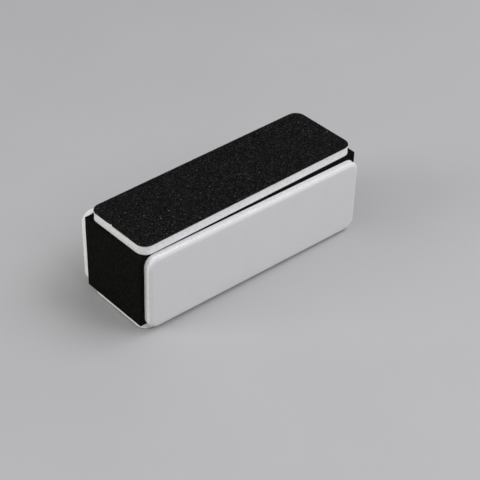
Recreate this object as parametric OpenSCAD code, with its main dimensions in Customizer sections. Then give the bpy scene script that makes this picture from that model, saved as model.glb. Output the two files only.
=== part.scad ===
// Four-way nail buffer block. A foam core carries one glued pad on each long side: sanding pads
// above and below, polishing pads in front and behind. The block's length runs along X, the pads
// face +Z, -Z, -Y and +Y, and the origin is under the middle of the block, on the surface that the
// lower pad lies on.

/* [Foam core] */
// Length of the core
core_l = 95; // [94:1:120]
// Width of the core, front to back
core_w = 28.7; // [28:0.1:36]
// Height of the core
core_h = 28.2; // [28:0.1:36]
// Radius of the core's long edges
core_edge_r = 0.2; // [0.2:0.1:2]

/* [Pad outline] */
// Length of each pad
pad_l = 92.6; // [60:0.2:92.6]
// Width of each pad
pad_w = 28.4; // [20:0.1:28.4]
// Radius of each pad's corners
pad_corner_r = 3.8; // [2:0.2:8]
// Radius of the polishing pads' soft outer rim
rim_r = 1.4; // [0.9:0.1:1.8]
// How far the polishing facing wraps down over that rim, past the foam's flat face
facing_wrap = 0.25; // [0.1:0.05:0.5]

/* [Pad layers] */
// Thickness of the double-sided tape that holds a pad to the core
tape_t = 0.15; // [0.1:0.05:0.3]
// Thickness of the foam in the upper sanding pad
top_foam_t = 2.85; // [2:0.05:4]
// Thickness of the foam in the lower sanding pad
bottom_foam_t = 2.55; // [2:0.05:4]
// Thickness of the foam in a polishing pad
polishing_foam_t = 2.45; // [2:0.05:4]
// Thickness of the adhesive between the foam and its facing
bond_t = 0.05; // [0.05:0.05:0.2]
// Thickness of the abrasive paper
paper_t = 0.2; // [0.1:0.05:0.4]
// Thickness of the grit and the resin that holds it
grit_t = 0.15; // [0.1:0.05:0.3]
// Thickness of the polishing film
film_t = 0.1; // [0.1:0.05:0.3]
// Thickness of the polishing compound on the film
compound_t = 0.2; // [0.1:0.05:0.3]

/* [How each pad was stuck on: mm along, mm across, degrees turned] */
// Upper sanding pad
top_place = [0.1, -0.3, 0.6]; // [-1.6:0.1:1.6]
// Lower sanding pad
bottom_place = [0.2, 0, 0.1]; // [-1.6:0.1:1.6]
// Front polishing pad
front_place = [0.7, -1.5, -0.8]; // [-1.6:0.1:1.6]
// Back polishing pad
back_place = [-1.1, -0.3, -0.4]; // [-1.6:0.1:1.6]

/* [Hidden] */
$fn = 64;

// How far a cutting shape runs past what it cuts
spare = 1;

// Each pad's layers, from the core outwards, as heights above the core's face
top_heights = sanding_heights(top_foam_t);
bottom_heights = sanding_heights(bottom_foam_t);
polishing_heights = heights([tape_t, polishing_foam_t, bond_t, film_t, compound_t]);

// Number of each layer in those lists
TAPE = 0;
FOAM = 1;
BOND = 2;
BACKING = 3;
COAT = 4;

// Heights above the core of a polishing pad's face, and of its facing's cut edge on the rim
face_h = polishing_heights[COAT + 1];
facing_edge_h = polishing_heights[BOND] - facing_wrap;

// Height of the core's middle above the surface that the block lies on
middle_z = core_h / 2 + bottom_heights[COAT + 1];

// The running total of a list of thicknesses, from 0
function heights(layers, i = 0, below = 0) =
  i == len(layers) ? [below] : concat([below], heights(layers, i + 1, below + layers[i]));

// Heights of a sanding pad's layers, for that thickness of foam
function sanding_heights(foam_t) = heights([tape_t, foam_t, bond_t, paper_t, grit_t]);

// A flat rectangle with round corners
module round_rect(l, w, r) {
  square([l - 2 * r, w], center = true);
  square([l, w - 2 * r], center = true);
  for (x = [-1, 1], y = [-1, 1])
    translate([x * (l / 2 - r), y * (w / 2 - r)]) circle(r);
}

// Half of a polishing pad's section, standing on the core, with depth pared off its outside. It
// runs on by margin past its middle and its base
module under_rim(half_w, depth, margin = 0) {
  middle = half_w - rim_r;
  shoulder = face_h - rim_r;
  translate([-margin, -margin]) {
    square([middle + margin, face_h - depth + margin]);
    square([half_w - depth + margin, shoulder + margin]);
  }
  translate([middle, shoulder]) circle(rim_r - depth);
}

// What a section holds up to the height top
module up_to(half_w, top) {
  translate([-spare, -spare]) square([half_w + 2 * spare, top + spare]);
}

// Half of the foam's section: full width up to the facing's edge, then under the facing
module foam_section(half_w) {
  difference() {
    union() {
      under_rim(half_w, face_h - polishing_heights[BOND]);
      intersection() {
        under_rim(half_w, 0);
        up_to(half_w, facing_edge_h);
      }
    }
    up_to(half_w, tape_t);
  }
}

// Half of the section of layer i of the facing: across the face and down the rim to its edge
module facing_section(half_w, i) {
  difference() {
    under_rim(half_w, face_h - polishing_heights[i + 1]);
    under_rim(half_w, face_h - polishing_heights[i], spare);
    up_to(half_w, facing_edge_h);
  }
}

// Half of the section of a polishing pad's layer i
module layer_section(half_w, i) {
  if (i == FOAM) foam_section(half_w);
  else facing_section(half_w, i);
}

// A bar of that section on both sides of its middle, l long
module layer_bar(l, w, i) {
  rotate([90, 0, 90])
    linear_extrude(l, center = true)
      for (side = [0, 1]) mirror([side, 0]) layer_section(w / 2, i);
}

// Layer i of a polishing pad, with the pad's outline and a soft rim round its outer face
module soft_layer(i) {
  layer_bar(pad_l - 2 * pad_corner_r, pad_w, i);
  rotate([0, 0, 90]) layer_bar(pad_w - 2 * pad_corner_r, pad_l, i);
  for (turn = [0, 180], flip = [0, 1])
    rotate([0, 0, turn]) mirror([flip, 0, 0])
      translate([pad_l / 2 - pad_corner_r, pad_w / 2 - pad_corner_r])
        rotate_extrude(angle = 90) layer_section(pad_corner_r, i);
}

// One flat layer of a pad, with its edges cut square
module cut_layer(levels, i) {
  translate([0, 0, levels[i]])
    linear_extrude(levels[i + 1] - levels[i]) round_rect(pad_l, pad_w, pad_corner_r);
}

// Places a pad on the side of the core that a turn about X brings up
module on_side(turn, core_half, place) {
  translate([0, 0, middle_z])
    rotate([turn, 0, 0])
      translate([place[0], place[1], core_half])
        rotate([0, 0, place[2]])
          children();
}

module on_top() {
  on_side(0, core_h / 2, top_place) children();
}

module on_bottom() {
  on_side(180, core_h / 2, bottom_place) children();
}

module on_front() {
  on_side(90, core_w / 2, front_place) children();
}

module on_back() {
  on_side(-90, core_w / 2, back_place) children();
}

// The sub-parts

module core_block() {
  color("#161615")
    translate([0, 0, middle_z])
      rotate([90, 0, 90])
        linear_extrude(core_l, center = true) round_rect(core_w, core_h, core_edge_r);
}

module mounting_tape() {
  color("#dcdbd4") cut_layer(polishing_heights, TAPE);
}

module sanding_foam(levels) {
  color("#e9e8e6") cut_layer(levels, FOAM);
}

module sanding_bond(levels) {
  color("#d9d5c4") cut_layer(levels, BOND);
}

module abrasive_paper(levels) {
  color("#dddcd8") cut_layer(levels, BACKING);
}

module grit_coat(levels) {
  color("#1d1d1e") cut_layer(levels, COAT);
}

module polishing_foam() {
  color("#ececec") soft_layer(FOAM);
}

module polishing_bond() {
  color("#d9d5c4") soft_layer(BOND);
}

module polishing_film() {
  color("#e4e4e6") soft_layer(BACKING);
}

module polishing_coat() {
  color("#bdbdc0") soft_layer(COAT);
}

core_block();
on_top() mounting_tape();  // top_mounting_tape
on_top() sanding_foam(top_heights);  // top_foam_pad
on_top() sanding_bond(top_heights);  // top_bond_layer
on_top() abrasive_paper(top_heights);  // top_abrasive_paper
on_top() grit_coat(top_heights);  // top_grit_coat
on_bottom() mounting_tape();  // bottom_mounting_tape
on_bottom() sanding_foam(bottom_heights);  // bottom_foam_pad
on_bottom() sanding_bond(bottom_heights);  // bottom_bond_layer
on_bottom() abrasive_paper(bottom_heights);  // bottom_abrasive_paper
on_bottom() grit_coat(bottom_heights);  // bottom_grit_coat
on_front() mounting_tape();  // front_mounting_tape
on_front() polishing_foam();  // front_foam_pad
on_front() polishing_bond();  // front_bond_layer
on_front() polishing_film();  // front_polishing_film
on_front() polishing_coat();  // front_polishing_coat
on_back() mounting_tape();  // back_mounting_tape
on_back() polishing_foam();  // back_foam_pad
on_back() polishing_bond();  // back_bond_layer
on_back() polishing_film();  // back_polishing_film
on_back() polishing_coat();  // back_polishing_coat
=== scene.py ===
"""A four-way nail buffer block: a black foam core with two sanding pads and two polishing pads."""

import math
import random

import bpy
from mathutils import Matrix, Quaternion, Vector, noise


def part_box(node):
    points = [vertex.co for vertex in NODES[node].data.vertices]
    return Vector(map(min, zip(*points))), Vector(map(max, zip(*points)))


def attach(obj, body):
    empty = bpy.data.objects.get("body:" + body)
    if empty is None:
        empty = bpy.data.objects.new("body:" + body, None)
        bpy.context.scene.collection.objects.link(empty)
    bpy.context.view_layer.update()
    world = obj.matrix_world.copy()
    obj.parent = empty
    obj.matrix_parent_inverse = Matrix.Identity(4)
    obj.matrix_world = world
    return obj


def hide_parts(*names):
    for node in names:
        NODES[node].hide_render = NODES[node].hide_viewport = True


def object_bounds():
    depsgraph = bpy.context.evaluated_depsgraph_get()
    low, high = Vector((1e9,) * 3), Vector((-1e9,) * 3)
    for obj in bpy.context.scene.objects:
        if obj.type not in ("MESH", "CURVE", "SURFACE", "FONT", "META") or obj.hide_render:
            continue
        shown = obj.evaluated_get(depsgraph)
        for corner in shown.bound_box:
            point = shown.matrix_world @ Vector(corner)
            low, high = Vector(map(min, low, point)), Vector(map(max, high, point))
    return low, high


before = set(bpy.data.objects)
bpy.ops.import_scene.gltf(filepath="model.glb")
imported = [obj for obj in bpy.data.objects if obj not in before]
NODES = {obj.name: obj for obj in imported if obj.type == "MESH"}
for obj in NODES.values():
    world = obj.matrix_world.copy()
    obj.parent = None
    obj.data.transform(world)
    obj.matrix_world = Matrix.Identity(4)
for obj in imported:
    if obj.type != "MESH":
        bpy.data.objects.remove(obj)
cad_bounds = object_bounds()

MM = 0.001
ROOT = "root"

# Driving sizes, in millimetres. Lengths, widths and heights come from the frame.
PAD_CORNER_R = 3.8
RIM_R = 1.4
FACING_WRAP = 0.25
CORE_EDGE_R = 0.2
END_R = 0.12  # round the core's two sawn ends

# Distance between mesh points, in millimetres
GRIT_STEP = 0.22
SKIN_STEP = 0.4
FOAM_STEP = 0.25
CORE_STEP = 0.5

# Number of mesh steps across each round part of a section
END_CELLS = 3
UNDER_CELLS = 4
RIM_CELLS = 6
SHOULDER_CELLS = 8
CROWN_CELLS = 8
CROWN_CROWDING = 1.6  # above 1, the crown's steps are closer together towards the rim

# The grit, in millimetres
GRAIN_H = 0.1  # from the deepest hollow to the tallest grain
CLUMP_SIZE = 1.3
GRAIN_SIZE = 0.42
SPIKE_RARITY = 2.2  # above 1, fewer grains reach the full height
SHAKE = 0.3  # how far a grain may lie from its grid place, as a share of the grid's step
EDGE_ROLL = 0.05  # how far down the rounded edge reaches
EDGE_GRAIN = 0.6  # height of the grains on the edge, as a share of the others
PROUD = 0.03  # how far the edge stands out past the paper
RAGGED = 0.06  # how far the edge wanders
RAGGED_SIZE = 0.9  # length of those wanderings
EDGE_HIGHLIGHT_REACH = 0.5  # width of the painted highlight strip along the edge
EDGE_HIGHLIGHT_SIZE = 1.1  # length of its lighter and darker stretches

# Chips in the upper grit's near edge: place along that edge, width and depth, in millimetres
CHIPS = ((2.6, 0.4, 0.45), (3.6, 0.25, 0.2), (-6.3, 0.3, 0.15))

# The foam and the polishing face, in millimetres
FOAM_RELIEF = ((0.33, 0.014, 0), (1.1, 0.014, 3), (6.0, 0.03, 9))  # size, height, seed's shift
FOAM_SUNK = 0.03  # how far that relief lies below the surface
WALL_BOW = 0.08  # how far a pad's wall is pulled in at half height
CORE_TEXTURE = 0.6  # the core's relief, as a share of the pads'
SEAM = 0.03  # half the width of the groove at the facing's cut edge
DROOP = 0.06  # how far the face falls away towards its rim
DROOP_REACH = 0.45  # how quickly that fall fades, going inwards
CROWN_INSET = 3.0  # where it has faded, measured from the outline
SKIN_RELIEF = 0.012  # height of the face's slow waves; its ripples are a third of that
SKIN_WAVES = 9.0
SKIN_RIPPLES = 1.6

# Seeds of the relief. Where a kind has two pads, the second pad's seed is one more.
SANDING_FOAM_SEED = 3.0
POLISHING_FOAM_SEED = 7.0
GRIT_SEED = 20.0
SKIN_SEED = 30.0
CORE_SEED = 41.0

# Edges of the smooth pieces that turn by more than this many degrees stay sharp
SHARP_ANGLE = 50

# Fractal noise: its roughness, and the two values that it mostly lies between
NOISE_ROUGHNESS = 0.55
NOISE_LOW = 0.3
NOISE_HIGH = 0.7

# How far a thin layer's roughness strays from its middle value
ROUGHNESS_SPREAD = 0.08

# Two directions are taken as parallel when the product of their unit vectors is above this
NEARLY_PARALLEL = 0.99

# Camera: angles in degrees, lens and sensor in millimetres, distance in metres, and the point it
# looks at, in millimetres from the core's middle
VIEW_AZIMUTH = -41.67
VIEW_ELEVATION = 37.46
ROLL = 1.37
LENS = 107.4
SENSOR = 36.0
DISTANCE = 0.4916
AIM = (1.07, -7.46, -6.13)

# Light colours
COOL = (0.99, 0.985, 1.04)
WARM = (1.02, 1.0, 0.95)
AMBIENT = (0.99, 0.99, 1.015)

# Area lights: name, place in metres, size in metres, power in watts and colour
LIGHTS = (
    ("overhead", (0.45, -0.3, 0.8), 0.6, 3.7, COOL),
    ("front", (0.1, -0.65, 0.7), 0.6, 2.7, COOL),
    ("left", (-0.8, 0.3, 0.4), 0.5, 3.3, WARM),
)
AMBIENT_STRENGTH = 0.35
FLOOR_HALF = 1.2  # metres

random.seed(7)


# Geometry helpers


def stations(size, radius, step):
    """Places across a rounded rectangle, as (where on the straight, share of the corner)."""
    straight = size - 2 * radius
    corner_cells = max(3, round(radius / step))
    cells = max(2, round(straight / step))
    low = [(-straight / 2, -k / corner_cells) for k in range(corner_cells, 0, -1)]
    middle = [(straight * (k / cells - 0.5), 0.0) for k in range(cells + 1)]
    high = [(straight / 2, k / corner_cells) for k in range(1, corner_cells + 1)]
    return low + middle + high


class Outline:
    """A grid that fills a rounded rectangle, and rings of the same points round it."""

    def __init__(self, length, width, radius, step):
        self.radius = radius
        self.corner = (length / 2 - radius, width / 2 - radius)
        self.along = stations(length, radius, step)
        self.across = stations(width, radius, step)
        last_i, last_j = len(self.along) - 1, len(self.across) - 1
        self.edge = [(i, 0) for i in range(last_i)]
        self.edge += [(last_i, j) for j in range(last_j)]
        self.edge += [(i, last_j) for i in range(last_i, 0, -1)]
        self.edge += [(0, j) for j in range(last_j, 0, -1)]

    def point(self, i, j, inset):
        """Where grid point (i, j) lies when the whole outline is inset by that much."""
        x, corner_x = self.along[i]
        y, corner_y = self.across[j]
        reach = self.radius - inset
        if corner_x and corner_y:
            reach *= max(abs(corner_x), abs(corner_y)) / math.hypot(corner_x, corner_y)
        return x + reach * corner_x, y + reach * corner_y

    def depth(self, x, y):
        """How far the place (x, y) lies inside the outline."""
        past_x, past_y = abs(x) - self.corner[0], abs(y) - self.corner[1]
        beyond = math.hypot(max(past_x, 0.0), max(past_y, 0.0))
        return self.radius - beyond - min(max(past_x, past_y), 0.0)


class Shell:
    """Points and faces of one closed piece, gathered ring by ring, in millimetres."""

    def __init__(self, outline):
        self.outline = outline
        self.points = []
        self.faces = []

    def add(self, x, y, z):
        self.points.append(Vector((x, y, z)))
        return len(self.points) - 1

    def cap(self, inset, z, up=True):
        """A grid over the whole outline. Returns its outer points in the order of the edge."""
        o = self.outline
        rows = [
            [self.add(*o.point(i, j, inset), z) for j in range(len(o.across))]
            for i in range(len(o.along))
        ]
        for i in range(len(o.along) - 1):
            for j in range(len(o.across) - 1):
                face = (rows[i][j], rows[i + 1][j], rows[i + 1][j + 1], rows[i][j + 1])
                self.faces.append(face if up else face[::-1])
        return [rows[i][j] for i, j in o.edge]

    def ring(self, inset, z):
        """One ring of points round the outline."""
        return [self.add(*self.outline.point(i, j, inset), z) for i, j in self.outline.edge]

    def join(self, upper, lower):
        """Faces between two rings, the upper one being nearer the outer cap."""
        n = len(upper)
        for k in range(n):
            m = (k + 1) % n
            self.faces.append((upper[k], lower[k], lower[m], upper[m]))

    def skirt(self, upper, profile):
        """Rings down a profile of (inset, z) from the ring upper. Returns the last ring."""
        for inset, z in profile:
            lower = self.ring(inset, z)
            self.join(upper, lower)
            upper = lower
        return upper

    def close(self, ring):
        """A flat base across the last ring."""
        self.faces.append(tuple(reversed(ring)))

    def mesh(self, name, to_frame):
        me = bpy.data.meshes.new(name)
        me.from_pydata([to_frame @ p for p in self.points], [], self.faces)
        me.update()
        return me


def arc_profile(radius, top, cells):
    """(inset, z) down a round edge, from the flat at the height top to the wall."""
    angles = [math.radians(90 * k / cells) for k in range(cells + 1)]
    return [(radius * (1 - math.sin(a)), top - radius * (1 - math.cos(a))) for a in angles]


def rim_profile(face, depth, high, low, cells):
    """(inset, z) down the rim's round section from high to low, depth under its outside."""
    radius, middle = RIM_R - depth, face - RIM_R
    start, stop = (math.acos(min(1.0, (z - middle) / radius)) for z in (high, low))
    angles = [start + (stop - start) * k / cells for k in range(cells + 1)]
    return [(RIM_R - radius * math.sin(a), middle + radius * math.cos(a)) for a in angles]


def straight_profile(high, low, step, bow=0.0):
    """(inset, z) down a wall from high to low, pulled in by bow at half height."""
    cells = max(2, round((high - low) / step))
    shares = [k / cells for k in range(1, cells + 1)]
    return [(4 * bow * s * (1 - s), high + (low - high) * s) for s in shares]


def value_noise(p, size, seed):
    """Smooth noise from -1 to 1 with features of that size, in millimetres."""
    return noise.noise(p / size + Vector((seed, 1.7 * seed, 3.1 * seed)))


# The pads' places, read from the frame


class Pad:
    """Where one pad sits: its middle, its axes, its length and width, and its layers."""

    def __init__(self, side, out, backing, coat, soft):
        self.side = side
        self.soft = soft
        self.backing = f"{side}_{backing}"
        self.coat = f"{side}_{coat}"
        self.tape = f"{side}_mounting_tape"
        self.foam = f"{side}_foam_pad"
        self.bond = f"{side}_bond_layer"
        self.out = Vector(out)
        sideways = self.out.cross(Vector((1, 0, 0)))
        faces = NODES[self.tape].data.polygons
        walls = [face for face in faces if abs(face.normal.dot(sideways)) > NEARLY_PARALLEL]
        wall = max(walls, key=lambda face: face.area)
        self.across = wall.normal * math.copysign(1, wall.normal.dot(sideways))
        self.along = self.across.cross(self.out).normalized()
        low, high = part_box(self.tape)
        self.middle = (low + high) / 2
        self.length = self.extent(self.tape, self.along)
        self.width = self.extent(self.tape, self.across)

    def span(self, node, axis):
        """Where the node starts and ends along the axis, in metres."""
        reach = [v.co.dot(axis) for v in NODES[node].data.vertices]
        return min(reach), max(reach)

    def extent(self, node, axis):
        """The node's size along the axis, in millimetres."""
        low, high = self.span(node, axis)
        return (high - low) / MM

    def levels(self, node):
        """How far the node's two faces lie from the core, in millimetres."""
        base = self.span(self.tape, self.out)[0]
        low, high = self.span(node, self.out)
        return (low - base) / MM, (high - base) / MM

    def to_frame(self):
        """From the pad's own millimetres, with its base on the core, to the frame's metres."""
        base = self.span(self.tape, self.out)[0]
        origin = self.middle - self.out * (self.middle.dot(self.out) - base)
        turn = Matrix((self.along, self.across, self.out)).transposed().to_4x4()
        return Matrix.Translation(origin) @ turn @ Matrix.Scale(MM, 4)


# Pieces


def rough_grains(p, seed):
    """How far below the tallest grain the grit's surface lies at p: packed grains in clumps."""
    clump = 0.5 + 0.5 * value_noise(p, CLUMP_SIZE, seed)
    grain = 0.5 + 0.5 * value_noise(p, GRAIN_SIZE, seed + 5)
    spike = random.random() ** SPIKE_RARITY
    return GRAIN_H * (0.30 * clump + 0.35 * grain + 0.35 * (1 - spike))


def finish_piece(name, mesh, look, replaced, smooth=True):
    """Makes the object, hides what it stands for, and gives it its finish and its body."""
    piece = bpy.data.objects.new(name, mesh)
    bpy.context.scene.collection.objects.link(piece)
    mesh.materials.append(look)
    if smooth:
        mesh.shade_smooth()
        mesh.set_sharp_from_angle(angle=math.radians(SHARP_ANGLE))
    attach(piece, ROOT)
    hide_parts(replaced)
    return piece


def grit_sheet(pad, look, seed, chips=()):
    """The black abrasive face: packed grains, a slightly proud ragged edge and a flat base."""
    low, top = pad.levels(pad.coat)
    shell = Shell(Outline(pad.length, pad.width, PAD_CORNER_R, GRIT_STEP))
    rim = shell.cap(EDGE_ROLL - PROUD, top)
    on_cap = len(shell.points)
    base = shell.skirt(rim, [(-PROUD, top - EDGE_ROLL), (-PROUD, low)])
    shell.close(base)
    on_rim = set(rim)
    # Painted highlight along the grit's edge: a paler strip, patchy along its length, fading
    # inwards.
    edge_highlight = []
    for k, p in enumerate(shell.points):
        depth = shell.outline.depth(p.x, p.y)
        highlight_patches = 0.7 + 0.6 * value_noise(p, EDGE_HIGHLIGHT_SIZE, seed + 23)
        edge_highlight.append(min(1.0, max(0.0, 1 - depth / EDGE_HIGHLIGHT_REACH) * highlight_patches))
        if k < on_cap:
            shake = 0.0 if k in on_rim else GRIT_STEP * SHAKE
            p.z -= rough_grains(p, seed) * (EDGE_GRAIN if k in on_rim else 1.0)
            p.x += random.uniform(-shake, shake)
            p.y += random.uniform(-shake, shake)
        if k >= on_cap or k in on_rim:
            p.x += RAGGED * value_noise(p, RAGGED_SIZE, seed + 11)
            p.y += RAGGED * value_noise(p, RAGGED_SIZE, seed + 17)
        for across, width, bite in chips:
            near = math.exp(-((p.y - across) / width) ** 2)
            p.x = max(p.x, -pad.length / 2 + bite * near)
    mesh = shell.mesh(pad.coat + "_sheet", pad.to_frame())
    mesh.attributes.new("edge_highlight", "FLOAT", "POINT").data.foreach_set("value", edge_highlight)
    finish_piece(pad.coat + "_sheet", mesh, look, pad.coat, smooth=False)


def displace(mesh, amount):
    """Moves each point along its normal by amount(point), all in millimetres."""
    moves = [v.normal * amount(v.co) for v in mesh.vertices]
    for v, move in zip(mesh.vertices, moves):
        v.co += move
    mesh.update()


def foam_texture(p, seed):
    """The cut face of closed-cell foam: fine cells on slow waves, mostly below the surface."""
    heights = [h * value_noise(p, size, seed + shift) for size, h, shift in FOAM_RELIEF]
    return sum(heights) - FOAM_SUNK


def foam_slab(pad, look, seed):
    """A die-cut foam pad. Its wall is pulled in a little, and its face meets the facing."""
    low, high = pad.levels(pad.foam)
    shell = Shell(Outline(pad.length, pad.width, PAD_CORNER_R, FOAM_STEP))
    if pad.soft:
        face = pad.levels(pad.coat)[1]
        seam = high - FACING_WRAP
        top = shell.ring(RIM_R, high)
        under = rim_profile(face, face - high, high, seam, UNDER_CELLS)[1:]
        outer = rim_profile(face, 0, seam - SEAM, face - RIM_R, RIM_CELLS)
        wall_top = shell.skirt(top, under + outer)
        wall_z = face - RIM_R
    else:
        top = wall_top = shell.ring(0, high)
        wall_z = high
    shell.faces.append(tuple(top))
    base = shell.skirt(wall_top, straight_profile(wall_z, low, FOAM_STEP, WALL_BOW))
    shell.close(base)
    mesh = shell.mesh(pad.foam + "_slab", Matrix())
    displace(mesh, lambda p: foam_texture(p, seed))
    for v in mesh.vertices:
        v.co.z = min(max(v.co.z, low), high)
    mesh.transform(pad.to_frame())
    piece = finish_piece(pad.foam + "_slab", mesh, look, pad.foam)


def compound_skin(pad, look, seed):
    """The polishing face: a thin, even skin, down over the soft rim to its cut edge."""
    low, high = pad.levels(pad.coat)
    film_high = pad.levels(pad.backing)[1]
    seam = pad.levels(pad.foam)[1] - FACING_WRAP
    shell = Shell(Outline(pad.length, pad.width, PAD_CORNER_R, SKIN_STEP))
    slope = DROOP / DROOP_REACH
    start = RIM_R * (1 - slope)
    shares = [(k / CROWN_CELLS) ** CROWN_CROWDING for k in range(CROWN_CELLS, -1, -1)]
    insets = [start + (CROWN_INSET - start) * share for share in shares]
    crown = [(i, high - DROOP * math.exp((start - i) / DROOP_REACH)) for i in insets]
    rim = shell.cap(*crown[0])
    drop = DROOP - RIM_R * (1 - math.sqrt(1 - slope ** 2))
    shoulder = rim_profile(high - drop, 0, crown[-1][1], seam + SEAM, SHOULDER_CELLS)
    foot = shell.skirt(rim, crown[1:] + shoulder[1:])
    inside = rim_profile(high, high - film_high, seam, film_high, RIM_CELLS)
    shell.close(shell.skirt(foot, inside))
    # Paler towards the cut edge: partly the skin thinning there, partly a painted highlight on the
    # rim.
    thin = [min(1.0, max(0.0, (high - p.z) / (high - seam))) for p in shell.points]
    mesh = shell.mesh(pad.coat + "_skin", Matrix())
    mesh.attributes.new("thin", "FLOAT", "POINT").data.foreach_set("value", thin)
    relief_low = high - 0.5 * RIM_R  # the rim below this height stays smooth

    def relief(p):
        if p.z < relief_low:
            return 0.0
        waves = value_noise(p, SKIN_WAVES, seed)
        ripples = value_noise(p, SKIN_RIPPLES, seed + 4)
        return SKIN_RELIEF * (waves + ripples / 3 - 1)

    displace(mesh, relief)
    mesh.transform(pad.to_frame())
    finish_piece(pad.coat + "_skin", mesh, look, pad.coat)


def core_bar(look):
    """The black foam core, sawn square: soft long edges, crisp ends with a cut texture."""
    low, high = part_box("core_block")
    size = (high - low) / MM
    shell = Shell(Outline(size.y, size.z, CORE_EDGE_R, CORE_STEP))
    half = size.x / 2
    end = arc_profile(END_R, half, END_CELLS)
    upper = shell.skirt(shell.cap(END_R, half), end[1:])
    upper = shell.skirt(upper, straight_profile(half - END_R, END_R - half, CORE_STEP))
    upper = shell.skirt(upper, [(inset, -z) for inset, z in end[-2:0:-1]])
    shell.join(upper, shell.cap(END_R, -half, up=False))
    mesh = shell.mesh("core_foam_bar", Matrix())
    displace(mesh, lambda p: CORE_TEXTURE * foam_texture(p, CORE_SEED))
    middle = (low + high) / 2
    turn = Matrix(((0, 0, 1), (1, 0, 0), (0, 1, 0))).to_4x4()
    mesh.transform(Matrix.Translation(middle) @ turn @ Matrix.Scale(MM, 4))
    piece = finish_piece("core_foam_bar", mesh, look, "core_block")


# Materials


def grey(level, warm=0.0, green=0.0):
    """A nearly neutral linear colour; warm above 0 leans to cream, below 0 to blue."""
    return (level * (1 + warm), level * (1 + green), level * (1 - warm), 1.0)


class Look:
    """A Principled material whose colour, roughness and relief are procedural."""

    def __init__(self, name, **sockets):
        self.material = bpy.data.materials.new(name)
        self.material.use_nodes = True
        self.nodes = self.material.node_tree.nodes
        self.links = self.material.node_tree.links
        self.shader = self.nodes["Principled BSDF"]
        for key, value in sockets.items():
            self.shader.inputs[key.replace("_", " ")].default_value = value
        self.place = self.nodes.new("ShaderNodeTexCoord").outputs["Object"]
        self.normal = None

    def node(self, kind, **values):
        made = self.nodes.new(kind)
        for key, value in values.items():
            setattr(made, key, value)
        return made

    def noise(self, size, detail=3.0, stretch=(1, 1, 1)):
        """Fractal noise from 0 to 1 with features of that size in millimetres."""
        mapping = self.node("ShaderNodeMapping")
        mapping.inputs["Scale"].default_value = stretch
        self.links.new(self.place, mapping.inputs["Vector"])
        tex = self.node("ShaderNodeTexNoise")
        tex.inputs["Scale"].default_value = 1 / (size * MM)
        tex.inputs["Detail"].default_value = detail
        tex.inputs["Roughness"].default_value = NOISE_ROUGHNESS
        self.links.new(mapping.outputs["Vector"], tex.inputs["Vector"])
        return tex.outputs["Fac"]

    def painted(self, name):
        """A number that the mesh carries at its points."""
        return self.node("ShaderNodeAttribute", attribute_name=name).outputs["Fac"]

    def cells(self, size, output="Distance"):
        """Cells of that size in millimetres: the distance to each one's middle, or its colour."""
        tex = self.node("ShaderNodeTexVoronoi")
        tex.inputs["Scale"].default_value = 1 / (size * MM)
        self.links.new(self.place, tex.inputs["Vector"])
        return tex.outputs[output]

    def chance(self, size):
        """Cells of that size in millimetres, each with its own even chance from 0 to 1."""
        parts = self.node("ShaderNodeSeparateColor")
        self.links.new(self.cells(size, "Color"), parts.inputs["Color"])
        return parts.outputs["Red"]

    def ramp(self, value, stops):
        """value, from 0 to 1, looked up between (position, colour) stops."""
        ramp = self.node("ShaderNodeValToRGB")
        points = ramp.color_ramp.elements
        while len(points) < len(stops):
            points.new(0.5)
        for point, (position, colour) in zip(points, stops):
            point.position = position
            point.color = colour
        self.links.new(value, ramp.inputs["Fac"])
        return ramp.outputs["Color"]

    def tint(self, noise, low, high):
        """The colour low where the noise is low, and high where it is high."""
        return self.ramp(noise, [(NOISE_LOW, low), (NOISE_HIGH, high)])

    def span(self, value, new_low, new_high, low=NOISE_LOW, high=NOISE_HIGH):
        """value moved from the range low..high to new_low..new_high, held at its ends."""
        span = self.node("ShaderNodeMapRange")
        ends = {"From Min": low, "From Max": high, "To Min": new_low, "To Max": new_high}
        for key, number in ends.items():
            span.inputs[key].default_value = number
        self.links.new(value, span.inputs["Value"])
        return span.outputs["Result"]

    def mix(self, factor, first, second, blend="MIX"):
        """Two colours mixed; each argument is a value or a socket."""
        mix = self.node("ShaderNodeMix", data_type="RGBA", blend_type=blend)
        colours = [socket for socket in mix.inputs if socket.type == "RGBA"]
        for socket, value in zip([mix.inputs["Factor"], *colours], (factor, first, second)):
            if isinstance(value, bpy.types.NodeSocket):
                self.links.new(value, socket)
            else:
                socket.default_value = value
        return next(socket for socket in mix.outputs if socket.type == "RGBA")

    def relief(self, height, depth, strength):
        """Adds a bump of that depth in millimetres to the relief so far."""
        bump = self.node("ShaderNodeBump")
        bump.inputs["Distance"].default_value = depth * MM
        bump.inputs["Strength"].default_value = strength
        self.links.new(height, bump.inputs["Height"])
        if self.normal is not None:
            self.links.new(self.normal, bump.inputs["Normal"])
        self.normal = bump.outputs["Normal"]

    def done(self, colour, roughness):
        """Connects the colour, the roughness and the relief, and returns the material."""
        self.links.new(colour, self.shader.inputs["Base Color"])
        self.links.new(roughness, self.shader.inputs["Roughness"])
        if self.normal is not None:
            self.links.new(self.normal, self.shader.inputs["Normal"])
        return self.material


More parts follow.
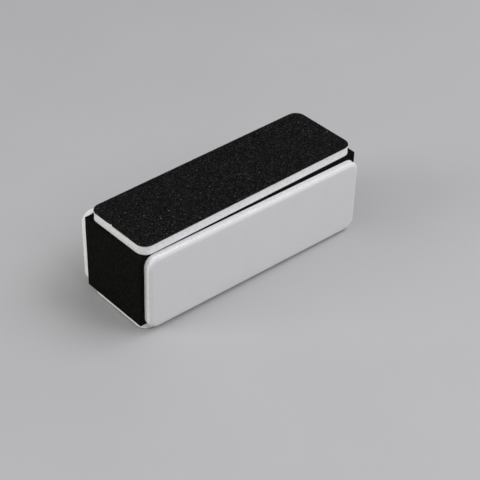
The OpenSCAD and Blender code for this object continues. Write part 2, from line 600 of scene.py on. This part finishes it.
def pad_foam_look():
    """White closed-cell foam, cut: tiny cells with darker mouths, a chalky soft surface."""
    look = Look(
        "pad_foam_white",
        Subsurface_Weight=0.12,
        Subsurface_Radius=(0.9, 0.85, 0.8),
        Subsurface_Scale=1.2 * MM,
    )
    body = look.tint(look.noise(3.0), grey(0.86, 0.004), grey(0.89, 0.002))
    mouths = look.ramp(look.chance(0.34), [(0.0, grey(0.85)), (0.3, grey(0.96)), (1.0, grey(1.04))])
    colour = look.mix(1.0, body, mouths, "MULTIPLY")
    lumps = look.ramp(look.noise(0.6, 2.0), [(0.32, grey(0.92)), (0.6, grey(1.0))])
    colour = look.mix(1.0, colour, lumps, "MULTIPLY")
    look.relief(look.cells(0.22), 0.05, 0.5)
    look.relief(look.noise(0.6), 0.05, 0.4)
    return look.done(colour, look.span(look.noise(0.8), 0.7, 0.9))


def core_foam_look():
    """Black EVA foam: matte, with fine closed cells and faint knife marks."""
    look = Look("core_foam_black", Specular_IOR_Level=0.025)
    body = look.tint(look.noise(1.1), grey(0.0037, 0.07, 0.11), grey(0.0071, 0.07, 0.11))
    shades = [(0.0, grey(0.35)), (0.6, grey(0.9)), (0.9, grey(1.5)), (1.0, grey(2.1))]
    colour = look.mix(1.0, body, look.ramp(look.chance(0.36), shades), "MULTIPLY")
    look.relief(look.cells(0.3), 0.07, 0.5)
    look.relief(look.noise(0.9, stretch=(1, 1, 0.15)), 0.06, 0.3)
    return look.done(colour, look.span(look.noise(0.7), 0.62, 0.8))


def grit_look():
    """Black silicon carbide in dark resin: packed grains, painted glints on a few, a painted
    highlight along the edge.
    """
    look = Look("black_grit_coat", Specular_IOR_Level=0.015)
    clumps = look.tint(look.noise(2.2), grey(0.0084), grey(0.0112))
    shades = [
        (0.0, grey(0.2)), (0.5, grey(0.7)), (0.85, grey(1.5)), (0.97, grey(2.9)), (1.0, grey(5.4))
    ]
    body = look.mix(1.0, clumps, look.ramp(look.chance(0.29), shades), "MULTIPLY")
    # A paler strip along the edge: a painted edge highlight.
    body = look.mix(look.painted("edge_highlight"), body, grey(0.03))
    # Painted glints: a few cells get a pale base colour standing in for light glinting off grain
    # facets.
    painted_glint = look.ramp(look.chance(0.31), [(0.995, grey(0.0)), (0.9985, grey(1.0))])
    colour = look.mix(painted_glint, body, grey(0.15))
    look.relief(look.cells(0.16), 0.06, 0.7)
    return look.done(colour, look.span(look.chance(0.28), 0.5, 0.9, low=0.0, high=1.0))


def compound_look():
    """Pale grey polishing compound: a close, rubbery skin with a satin sheen."""
    look = Look("polishing_compound_grey", Specular_IOR_Level=0.25)
    body = look.tint(look.noise(14.0, 2.0), grey(0.702, 0.006), grey(0.716, 0.002))
    # Paler towards the cut edge: partly the skin thinning there, partly a painted highlight on the
    # rim.
    body = look.mix(look.painted("thin"), body, grey(0.79))
    fine = look.tint(look.noise(0.4, 2.0), grey(0.9), grey(1.0))
    colour = look.mix(0.6, body, fine, "MULTIPLY")
    look.relief(look.noise(0.3, 2.0), 0.012, 0.6)
    look.relief(look.noise(2.5, 2.0), 0.03, 0.3)
    return look.done(colour, look.span(look.noise(1.2), 0.55, 0.7))


def layer_look(name, low, high, warm, grain, roughness):
    """A thin layer seen only at its cut edge: fibres or smears, grain millimetres in size."""
    look = Look(name)
    colour = look.tint(look.noise(grain), grey(low, warm), grey(high, warm))
    look.relief(look.noise(grain * 0.5), 0.02, 0.4)
    least, most = roughness - ROUGHNESS_SPREAD, roughness + ROUGHNESS_SPREAD
    return look.done(colour, look.span(look.noise(grain), least, most))


def dress(node, look):
    """Gives a CAD node that stays its procedural material."""
    NODES[node].data.materials.clear()
    NODES[node].data.materials.append(look)


# The block

foam = pad_foam_look()
grit = grit_look()
compound = compound_look()
tape = layer_look("mounting_tape_edge", 0.62, 0.72, 0.03, 0.8, 0.5)
bond = layer_look("bond_adhesive_edge", 0.42, 0.55, 0.05, 0.6, 0.4)
paper = layer_look("abrasive_paper_edge", 0.70, 0.80, 0.012, 0.3, 0.85)
film = layer_look("polishing_film_edge", 0.66, 0.74, -0.006, 0.7, 0.45)

core_bar(core_foam_look())
sanding = [
    Pad(side, out, "abrasive_paper", "grit_coat", soft=False)
    for side, out in (("top", (0, 0, 1)), ("bottom", (0, 0, -1)))
]
polishing = [
    Pad(side, out, "polishing_film", "polishing_coat", soft=True)
    for side, out in (("front", (0, -1, 0)), ("back", (0, 1, 0)))
]
for number, pad in enumerate(sanding):
    foam_slab(pad, foam, SANDING_FOAM_SEED + number)
    grit_sheet(pad, grit, GRIT_SEED + number, CHIPS if pad.side == "top" else ())
    dress(pad.backing, paper)
for number, pad in enumerate(polishing):
    foam_slab(pad, foam, POLISHING_FOAM_SEED + number)
    compound_skin(pad, compound, SKIN_SEED + number)
    dress(pad.backing, film)
for pad in sanding + polishing:
    dress(pad.tape, tape)
    dress(pad.bond, bond)


# The stage


def area_light(name, place, size, power, colour, target):
    """A square soft light of that size in metres, aimed at target."""
    data = bpy.data.lights.new(name, "AREA")
    data.size = size
    data.energy = power
    data.color = colour
    light = bpy.data.objects.new(name, data)
    bpy.context.scene.collection.objects.link(light)
    light.location = place
    light.rotation_mode = "QUATERNION"
    light.rotation_quaternion = (Vector(place) - target).to_track_quat("Z", "Y")


def make_floor():
    """A plain pale floor under the block."""
    mesh = bpy.data.meshes.new("floor")
    corners = ((-1, -1), (1, -1), (1, 1), (-1, 1))
    points = [(x * FLOOR_HALF, y * FLOOR_HALF, cad_bounds[0].z) for x, y in corners]
    mesh.from_pydata(points, [], [(0, 1, 2, 3)])
    floor = bpy.data.objects.new("floor", mesh)
    bpy.context.scene.collection.objects.link(floor)
    look = Look("floor_pale")
    colour = look.tint(look.noise(60.0), grey(0.47), grey(0.485))
    mesh.materials.append(look.done(colour, look.span(look.noise(20.0), 0.72, 0.76)))


def make_camera(middle):
    """Looks down on the block's near end, from in front and to the left."""
    a, e = math.radians(VIEW_AZIMUTH), math.radians(VIEW_ELEVATION)
    back = Vector((math.sin(a) * math.cos(e), -math.cos(a) * math.cos(e), math.sin(e)))
    data = bpy.data.cameras.new("camera")
    data.lens = LENS
    data.sensor_width = SENSOR
    camera = bpy.data.objects.new("camera", data)
    bpy.context.scene.collection.objects.link(camera)
    camera.location = middle + Vector(AIM) * MM + back * DISTANCE
    camera.rotation_mode = "QUATERNION"
    roll = Quaternion((0, 0, 1), math.radians(ROLL))
    camera.rotation_quaternion = back.to_track_quat("Z", "Y") @ roll
    bpy.context.scene.camera = camera


core_low, core_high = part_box("core_block")
core_middle = (core_low + core_high) / 2
make_floor()
make_camera(core_middle)
for light in LIGHTS:
    area_light(*light, core_middle)

world = bpy.data.worlds.new("studio")
world.use_nodes = True
background = world.node_tree.nodes["Background"]
background.inputs["Color"].default_value = (*AMBIENT, 1)
background.inputs["Strength"].default_value = AMBIENT_STRENGTH
bpy.context.scene.world = world
bpy.context.scene.view_settings.view_transform = "Standard"
